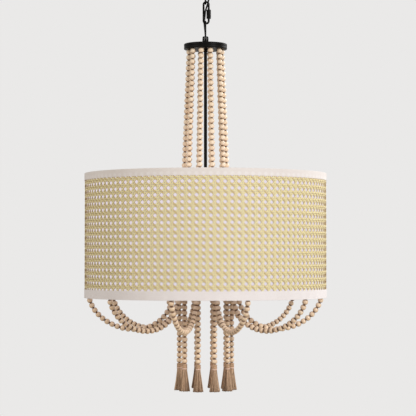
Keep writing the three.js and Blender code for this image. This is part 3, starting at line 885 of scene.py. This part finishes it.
for number, angle in enumerate(STRAND_ANGLES, 1):
    path = spread([(REACH, 0, DANGLE["top"]), (REACH, 0, HEAD_TOP - 1)], angle)
    beads, thread = string_beads(
        f"strand_beads_{number}", [path], DANGLE["beads"], DANGLE["knot"], DANGLE["pitch"], DANGLE["bead"],
        70 + number)
    tassel_pieces = make_tassel(number, angle)
    settle(beads, f"tassel_body_{number}", f"tassel_strand_{number}", slot="wood_beads")
    for piece in (thread, *tassel_pieces):
        settle(piece, f"tassel_body_{number}")

# %% [markdown]
# The wall is cane webbing: pairs of uprights and of hoops that weave through each other, and two sets of
# slanting strands that leave round holes. One recipe makes all six sets. Each strand is a flat strip, placed
# on the unrolled wall and then wrapped round the drum.

# %% Cane recipe
CANE = {"columns": 113, "row": 14.76, "first_row": -512.62, "column_shift": 0.25, "radius": 278.2}
CANE_WIDTH = {"straight": 2.6, "slanting": 3.3}
CORNER = 0.7071  # how far a square's corner lies from its middle on each axis, where the diagonal is 2
EDGE = 1.4142


def make_cane_recipe():
    recipe = Recipe("cane_strands", ["Strands", "Steps"], [
        "Turn start", "Turn per strand", "Turn along", "Rise start", "Rise per strand", "Rise along",
        "Waves per turn", "Waves per metre", "Wave shift", "Over", "Swing", "Radius", "Width", "Thickness",
        "Tan",
    ])
    strips = recipe.strips("cane_", recipe["Steps"] + 1.0, {
        "strand": recipe.wire("InputIndex"), "tone": recipe["Tan"] + recipe.random(0.0, 0.5, 1),
    })
    strand, along, share = [recipe.kept("cane_" + mark) for mark in ("strand", "along", "round")]
    turn, rise = [
        recipe[way + " start"] + strand * recipe[way + " per strand"] + along * recipe[way + " along"]
        for way in ("Turn", "Rise")
    ]
    wave = FULL * (turn * recipe["Waves per turn"] + rise * recipe["Waves per metre"] + recipe["Wave shift"])
    lift = recipe["Over"] * wave.sin() * wave.cos().most(0.0) * 2.0 + recipe["Swing"] * wave.cos()
    corner = share * FULL + FULL / 8
    strips = recipe.keep(strips, {"cane_across": corner.cos() * EDGE})
    across = corner.cos() * recipe["Width"] * CORNER * (1.0 - 0.16 * (corner.sin() > 0.0))
    raised = corner.sin() * recipe["Thickness"] * CORNER
    run_x, run_z = recipe["Turn along"] * FULL * recipe["Radius"], recipe["Rise along"]
    run = (run_x * run_x + run_z * run_z) ** 0.5
    angle = turn * FULL - across * run_z / run / recipe["Radius"]
    radius = recipe["Radius"] + lift + raised
    place = recipe.vector(radius * angle.sin(), radius * angle.cos() * -1.0, rise + across * run_x / run)
    wander = recipe.wire("ShaderNodeTexNoise", {"Vector": place, "Scale": 26.0, "Detail": 1.0}, 1)
    for operation, value in (("SUBTRACT", (0.5, 0.5, 0.5)), ("MULTIPLY", (0.0006, 0.0006, 0.0022))):
        wander = recipe.wire("ShaderNodeVectorMath", {0: wander, 1: value}, operation=operation)
    recipe.roll_up(strips, 0.00002, Position=place, Offset=wander)
    return recipe


def make_cane_finish():
    finish = Finish("cane", {"Specular IOR Level": 0.35})
    tone, along, across = (finish.attribute("cane_" + name) for name in ("tone", "along", "across"))
    place = finish.place()
    fibre = finish.noise(finish.vector(along * 3 + tone * 40, across * 2, tone * 10), 6.0, 3)
    spots = finish.noise(place, 260, 3, 0.6)
    cloud = finish.noise(place, 9, 2)
    finish.paint(
        (255, 250, 203), (tone * 0.8 + cloud * 0.2, (255, 240, 177)),
        # The falling slants, whose Tan is high, are painted darker and browner.
        (tone.ramp(0.9, 1.4) * 0.48, (192, 160, 94)),
        (fibre.ramp(0.4, 0.75) * 0.2, (226, 200, 142)), (spots.ramp(0.6, 0.78) * 0.3, (206, 172, 112)),
        # Partly painted shade: each strip darkens at its edges, partly the cane's own darker edge, partly the
        # shade in the crevices between strands.
        (across.abs().ramp(0.76, 1.0), (134, 88, 28)),
    )
    finish.rough(0.4 + 0.2 * spots)
    finish.relief(fibre, 0.0001, 0.5)
    return finish.material


cane_recipe = make_cane_recipe()
cane_finish = make_cane_finish()
print("columns", CANE["columns"], "pitch", round(FULL * CANE["radius"] / CANE["columns"], 2))

# %% [markdown]
# In each pair of uprights the left strand goes under the upper hoop and over the lower one, and the right
# strand the other way round. The rising slants cross under the hoops and over the uprights. The falling ones,
# which the finish paints darker, do the opposite.

# %% Weave the wall
columns, row = CANE["columns"], CANE["row"] * MM
first_row, middle_turn = CANE["first_row"] * MM, CANE["column_shift"] / columns
wall_top, wall_steps = first_row + 10 * row / 8, 152  # the wall is cut into eighths of a row
half_gap = 1.75 * MM
side_turn = half_gap / (FULL * CANE["radius"] * MM)
over, swing = 0.27 * MM, 0.5 * MM
lean, lead = wall_steps / 8 / columns, (wall_top - first_row) / row / columns
slant_turn = middle_turn + 0.5 / columns
shared = {"Width": CANE_WIDTH["straight"] * MM, "Swing": 0.0, "Tan": 0.1}
upright_set = {
    **shared, "Strands": columns, "Steps": wall_steps, "Turn per strand": 1 / columns, "Turn along": 0.0,
    "Rise start": wall_top, "Rise per strand": 0.0, "Rise along": -wall_steps * row / 8,
    "Waves per turn": 0.0, "Waves per metre": 1 / row, "Wave shift": -first_row / row,
}
hoop_set = {
    **shared, "Strands": 19, "Steps": 8 * columns, "Turn start": middle_turn, "Turn per strand": 0.0,
    "Turn along": 1.0, "Rise per strand": -row, "Rise along": 0.0, "Waves per turn": float(columns),
    "Waves per metre": 0.0, "Wave shift": -CANE["column_shift"],
}
slant_set = {**upright_set, "Over": 0.0, "Width": CANE_WIDTH["slanting"] * MM}
sets = {
    "cane_uprights_left": {**upright_set, "Turn start": middle_turn - side_turn, "Over": -over},
    "cane_uprights_right": {**upright_set, "Turn start": middle_turn + side_turn, "Over": over},
    "cane_hoops_upper": {**hoop_set, "Rise start": first_row + row + half_gap, "Over": -over},
    "cane_hoops_lower": {**hoop_set, "Rise start": first_row + row - half_gap, "Over": over},
    "cane_slant_rising": {
        **slant_set, "Turn start": slant_turn + lead, "Turn along": -lean, "Swing": -swing, "Tan": 0.2},
    "cane_slant_falling": {
        **slant_set, "Turn start": slant_turn - lead, "Turn along": lean, "Swing": swing, "Tan": 1.2},
}
for number, (name, values) in enumerate(sets.items()):
    webbing = cane_recipe.make(name, cane_finish, {
        **values, "Radius": CANE["radius"] * MM, "Thickness": 0.7 * MM, "Seed": 100 + number,
    })
    settle(webbing, "fixture", "cane_drum", slot="cane_weave")

# %% [markdown]
# Behind the cane is a thin liner that hides the lamps. It is pale because light comes through it: half of its
# finish is translucent, and an even painted glow, though the film is no lamp, stands for the light of the
# lamps.


# %% Liner
def make_liner_film():
    # Painted light: the film glows evenly, though it is no lamp.
    finish = Finish("liner_film", {
        "Roughness": 0.7, "Emission Color": (1.0, 0.95, 0.99, 1.0), "Emission Strength": 0.8,
    })
    fibre, cloud = finish.noise(finish.place(), 300, 4, 0.6), finish.noise(finish.place(), 14, 2)
    finish.paint((164, 155, 164), (fibre * 0.6 + cloud * 0.4, (148, 140, 149)))
    finish.relief(fibre, 0.0001, 0.4)
    finish.mix_in(0.5, finish.node("BsdfTranslucent", {"Color": tint(206, 199, 206)}))
    return finish.material


liner = turned("liner_sheet", soften([
    (276.5, -775.9), (277.1, -775.9), (277.1, -492.4), (276.5, -492.4), (276.5, -775.9),
], 0.1, 1), make_liner_film(), 240)
settle(liner, "fixture", "shade_liner", slot="liner_film")

# %% [markdown]
# A band of off-white linen is folded over each edge of the wall. It is one layer thick, so near the upper
# band's open edge the first row of holes would shine faintly through. The finish paints that light as pale
# dots, and finds those holes with the numbers that placed the cane. The lower band is a slightly cooler white.


# %% Trims
def make_linen():
    finish = Finish("linen_band", {"Roughness": 0.85, "Sheen Weight": 0.15})
    x, y, z = finish.axes(finish.place())
    turn = x.math("ARCTAN2", x, y * -1.0) / FULL
    hole = ((turn * columns - CANE["column_shift"]) % 1.0 - 0.5).abs()
    level = ((z - first_row - 0.002) / row % 1.0 - 0.5).abs()
    # dot marks where a hole lies behind the upper band, for painted light.
    dot = 1.0 - (hole * hole + level * level).ramp(0.03, 0.13)
    near = (z + 0.53).ramp(0, 0.01)
    warp = ((turn * FULL * 0.28) * (FULL / 0.0007)).sin()
    weft = (z * (FULL / 0.0008)).sin()
    weave = (warp * weft).ramp(-1, 1)
    slub = finish.noise(finish.vector(x * 60, y * 60, z * 900), 1.0, 3)
    cloud = finish.noise(finish.place(), 20, 3)
    finish.paint(
        (229, 220, 214), (weave * 0.5 + slub * 0.5, (246, 240, 237)),
        (cloud.ramp(0.4, 0.7) * 0.3, (227, 217, 211)), ((1.0 - near) * 0.35, (252, 248, 253)),
        # Painted light: pale dots where the holes behind shine through the upper band.
        (dot * near * 0.28, (255, 252, 252)),
    )
    finish.relief(weave * 0.7 + slub * 0.3, 0.00015, 0.6)
    return finish.material


linen = make_linen()
BAND_INSIDE, BAND_OUTSIDE = 276.6, 279.85


def band_ripple(angle, height):
    return 0.06 * math.sin(23 * angle + 1) + 0.05 * math.sin(57 * angle + height)


def make_band(name, edge, width, is_top):
    """A folded band. edge is the height of the fold, and the band runs from it over the wall's outside."""
    way = -1 if is_top else 1
    under = BAND_OUTSIDE - 0.55
    section = [
        (BAND_INSIDE, edge), (BAND_OUTSIDE, edge), (BAND_OUTSIDE, edge + way * width),
        (under, edge + way * width), (under, edge + way * 0.75), (BAND_INSIDE, edge + way * 0.75),
        (BAND_INSIDE, edge),
    ]
    if is_top:
        section.reverse()
    return turned(name, soften(section, 0.5, 3), linen, 360, ripple=band_ripple)


for name, node, edge, width in (
    ("top_band", "top_trim", -491.1, 16.5), ("bottom_band", "bottom_trim", -777.1, 20),
):
    band = make_band(name, edge, width, name == "top_band")
    settle(band, "fixture", node, slot="trim_cloth")

# %% [markdown]
# Inside the shade are a wire ring under the upper edge and a flat steel frame at the bottom, which carries
# the swags and strands.

# %% Lower frame and top wire
FRAME_BOTTOM, FRAME_TOP = -762.3, -759.3


def flat_ring(name, inner, outer, steps):
    middle = (inner + outer) / 2
    return turned(name, soften([
        (middle, FRAME_BOTTOM), (outer, FRAME_BOTTOM), (outer, FRAME_TOP), (inner, FRAME_TOP),
        (inner, FRAME_BOTTOM), (middle, FRAME_BOTTOM),
    ], 0.5, 3), black_satin, steps)


wire_path = [(273.4 * math.sin(FULL * i / 160), -273.4 * math.cos(FULL * i / 160), -501.1) for i in range(160)]
top_wire = tube("top_wire", wire_path, 2.3, zinc_steel, 10, is_loop=True)
settle(top_wire, "fixture", "shade_top_ring", slot="bright_steel")

frame_parts = [
    flat_ring("rim_ring", 263.1, 276.1, 180), flat_ring("inner_ring", 56, 84, 96),
    flat_ring("frame_hub", ROD_SEAT, 11, 48),
]
bar = soften([(-3.5, -1.5), (3.5, -1.5), (3.5, 1.5), (-3.5, 1.5), (-3.5, -1.5), (3.5, -1.5)], 0.5, 2)[1:-3]
for angle in SPOKE_ANGLES:
    rings = [[(x, y, z) for y, z in bar] for x in (10, 120, 264)]
    mesh = grid_mesh("spoke", rings, False, lambda i, j: (i * 100, j), caps=True)
    spoke = piece_of("spoke", mesh, black_satin)
    frame_parts.append(turned_to(spoke, angle, 0, (FRAME_BOTTOM + FRAME_TOP) / 2))
lower_frame = joined("lower_frame", frame_parts)
lower_frame.data.set_sharp_from_angle(angle=math.radians(35))
settle(lower_frame, "fixture", "bottom_frame", slot="black_metal")
settle(turned("finial_nut", soften([
    (0, -778.6), (5.5, -778.6), (8, -770.6), (8, -762.6), (ROD_SEAT, -762.6),
], 1.2), black_satin, 48), "fixture", "rod_finial", slot="black_metal")

# %% [markdown]
# Five candle lamps stand on curved arms. The sleeves are ivory card tubes, and the bulbs are opal glass.

# %% Lamp cluster
ivory = make_plain(
    "ivory_sleeve", {"Specular IOR Level": 0.5}, (40, 4, 0.6), [(240, 235, 224), (226, 219, 204)], 500, 0.00003,
    0.5, gloss=(0.34, 0.18, 0.0))
opal = make_plain(
    "opal_glass", {"Roughness": 0.16, "Coat Weight": 0.6, "Coat Roughness": 0.05}, (30, 3),
    [(250, 248, 242), (240, 236, 226)], 160, 0.00004, 0.3)
CLUSTER_Z, CUP_TOP, LAMP_REACH = -678.3, -659.3, 130
arm_line = flowing([(11, 0, 0), (65, 0, -4), (114, 0, 0), (LAMP_REACH, 0, 16)], 10)
hub = block(ROD_SEAT, 15, CLUSTER_Z - 12, CLUSTER_Z + 12, 3)
cluster_parts = [turned("cluster_hub", hub, black_satin, 64)]
bulb_outline = flowing([
    (6, 0, 0), (6, 18, 0), (7.2, 24, 0), (13.5, 38, 0), (17.5, 52, 0), (15.4, 68, 0), (9, 84, 0), (2.6, 97, 0),
    (0, 100, 0),
], 4)
for number, angle in enumerate(SPOKE_ANGLES, 1):
    arm = tube("arm", arm_line, 4.0, black_satin, 14)
    cup = turned("cup", soften([(0, 0), (10, 0), (14, 1.6), (14, 3), (0, 3)], 0.8), black_satin, 48)
    cluster_parts += [turned_to(arm, angle, 0, CLUSTER_Z), turned_to(cup, angle, LAMP_REACH, CUP_TOP - 3)]
    sleeve = turned(f"candle_sleeve_{number}", soften([
        (0, 0.4), (10.9, 0.4), (10.9, 52), (6.7, 52), (6.7, 28), (0, 28),
    ], 0.8), ivory, 48)
    turned_to(sleeve, angle, LAMP_REACH, CUP_TOP - 0.1)
    settle(sleeve, "fixture", f"lamp_socket_{number}", slot="porcelain")
    bulb = turned(f"candle_bulb_{number}", [(max(x, 0), y) for x, y, _ in bulb_outline], opal, 48)
    turned_to(bulb, angle, LAMP_REACH, CUP_TOP + 32.3)
    settle(bulb, "fixture", f"bulb_{number}", slot="bulb_glass")
settle(joined("cluster_arms", cluster_parts), "fixture", "lamp_cluster", slot="black_metal")

# %% [markdown]
# The crossbar is the one solid that stays as it is, with the plated finish. It is hidden in the canopy.

# %% Crossbar
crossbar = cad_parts["mounting_crossbar"]
for material_slot in crossbar.material_slots:
    material_slot.material = zinc_steel
bpy.data.objects.remove(bead_form)
print("crossbar slots:", len(crossbar.material_slots))

# %% [markdown]
# The light is plain: a large soft lamp at the front right, a weaker warm one at the left, one behind that
# shines down into the shade, and an even sky. Behind the object the camera sees a pale wall colour, which
# adds no light. The floor is clear when it is seen from underneath.


# %% Light and stage
def add_lamp(name, place, target, size, power, colour):
    lamp = bpy.data.lights.new(name, "AREA")
    lamp.shape, lamp.size, lamp.energy, lamp.color = "DISK", size, power, colour
    holder = add_object(name, lamp)
    holder.location = place
    holder.rotation_euler = (Vector(target) - Vector(place)).to_track_quat("-Z", "Y").to_euler()
    return holder


add_lamp("key_lamp", (2.4, -2.6, 0.15), (0, 0, -0.6), 0.9, 73, (1.0, 0.99, 0.98))
add_lamp("side_lamp", (-2.6, -1.8, 0.3), (0, 0, -0.6), 1.2, 28, (1.0, 0.93, 0.83))
back_lamp = add_lamp("back_lamp", (1.5, 1.3, 0.5), (-0.21, -0.18, -0.63), 0.6, 30, (1.0, 0.99, 0.98))
back_lamp.visible_camera = False


def make_world():
    world = bpy.data.worlds.new("pale_room")
    bpy.context.scene.world = world
    world.use_nodes = True
    tree = world.node_tree
    tree.nodes.clear()
    path = put(tree, "ShaderNodeLightPath")
    camera_ray, glossy, through = [Wire(path, f"Is {way} Ray") for way in ("Camera", "Glossy", "Transmission")]
    seen = (camera_ray + glossy + through).least(1.0)
    light = put(tree, "ShaderNodeBackground", {"Color": (1.0, 0.99, 0.975, 1.0), "Strength": 0.38})
    wall = put(tree, "ShaderNodeBackground", {"Color": tint(234, 233, 232), "Strength": 1.0})
    both = put(tree, "ShaderNodeMixShader", {0: seen, 1: Wire(light), 2: Wire(wall)})
    put(tree, "ShaderNodeOutputWorld", {0: Wire(both)})


def make_floor():
    finish = Finish("oak_floor", {"Base Color": tint(180, 170, 158), "Roughness": 0.8})
    back = finish.wire("NewGeometry", output="Backfacing")
    finish.mix_in(back, finish.node("BsdfTransparent"))
    mesh = mesh_from("floor", lambda work: bmesh.ops.create_grid(
        work, x_segments=1, y_segments=1, size=5, matrix=Matrix.Translation((0, 0, -2.4))))
    floor = piece_of("floor", mesh, finish.material)


make_world()
make_floor()
bpy.context.scene.view_settings.view_transform = "Standard"
print("lamps:", [lamp.name for lamp in bpy.data.lights])
